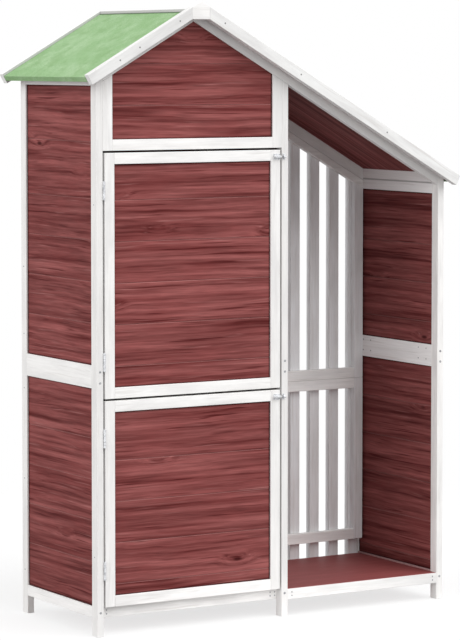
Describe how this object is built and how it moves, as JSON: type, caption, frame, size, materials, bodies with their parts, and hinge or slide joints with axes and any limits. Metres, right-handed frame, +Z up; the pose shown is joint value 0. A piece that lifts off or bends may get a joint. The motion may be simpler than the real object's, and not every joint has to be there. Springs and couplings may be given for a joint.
{
  "type": "wooden garden shed",
  "caption": "Narrow timber garden shed: framed cupboard with stacked doors under a gable, and an open slat-backed lean-to under the long roof slope.",
  "frame": {"origin": "on the ground, under the middle of the roof's outline", "axes": "+Z up, +Y from the doors to the back, +X from the cupboard to the lean-to"},
  "size_m": [1.206, 0.52, 1.71],
  "materials": {
    "white_wood": "thin white wash over softwood",
    "stained_wood": "red-brown wood stain",
    "roof_felt": "green mineral roofing felt",
    "galvanised_steel": "bright zinc"
  },
  "bodies": {
    "shed": {"left_wall_stiles": "white_wood", "left_wall_rails": "white_wood", "left_wall_panels": "stained_wood", "divider_stiles": "white_wood", "divider_rails": "white_wood", "divider_panels": "stained_wood", "right_wall_stiles": "white_wood", "right_wall_rails": "white_wood", "right_wall_panels": "stained_wood", "right_eave_plate": "white_wood", "gable_stiles": "white_wood", "gable_rail": "white_wood", "gable_panel": "stained_wood", "left_rafters": "white_wood", "right_rafters": "white_wood", "back_wall_stiles": "white_wood", "back_wall_rails": "white_wood", "back_wall_panels": "stained_wood", "slat_frame_stiles": "white_wood", "slat_frame_rails": "white_wood", "back_slats": "white_wood", "floor_rails": "white_wood", "cupboard_floor": "stained_wood", "lean_to_floor": "stained_wood", "left_roof_boards": "stained_wood", "right_roof_boards": "stained_wood", "left_roof_felt": "roof_felt", "right_roof_felt": "roof_felt", "front_bargeboards": "white_wood", "back_bargeboards": "white_wood", "peak_block": "white_wood", "ridge_strip": "white_wood", "upper_door_stiles": "white_wood", "upper_door_rails": "white_wood", "upper_door_panel": "stained_wood", "post_hinge_leaves": "galvanised_steel", "upper_hinge_leaves": "galvanised_steel", "hinge_pins": "galvanised_steel", "upper_latch": "galvanised_steel", "latch_keepers": "galvanised_steel"},
    "lower_door": {"lower_door_stiles": "white_wood", "lower_door_rails": "white_wood", "lower_door_panel": "stained_wood", "lower_hinge_leaves": "galvanised_steel", "lower_latch": "galvanised_steel"}
  },
  "joints": [
    {"name": "lower_door_hinge", "type": "hinge", "parent": "shed", "child": "lower_door", "pos_m": [-0.5342, -0.223, 0.358], "axis": [0, 0, -1], "range_deg": [0, 170]}
  ]
}
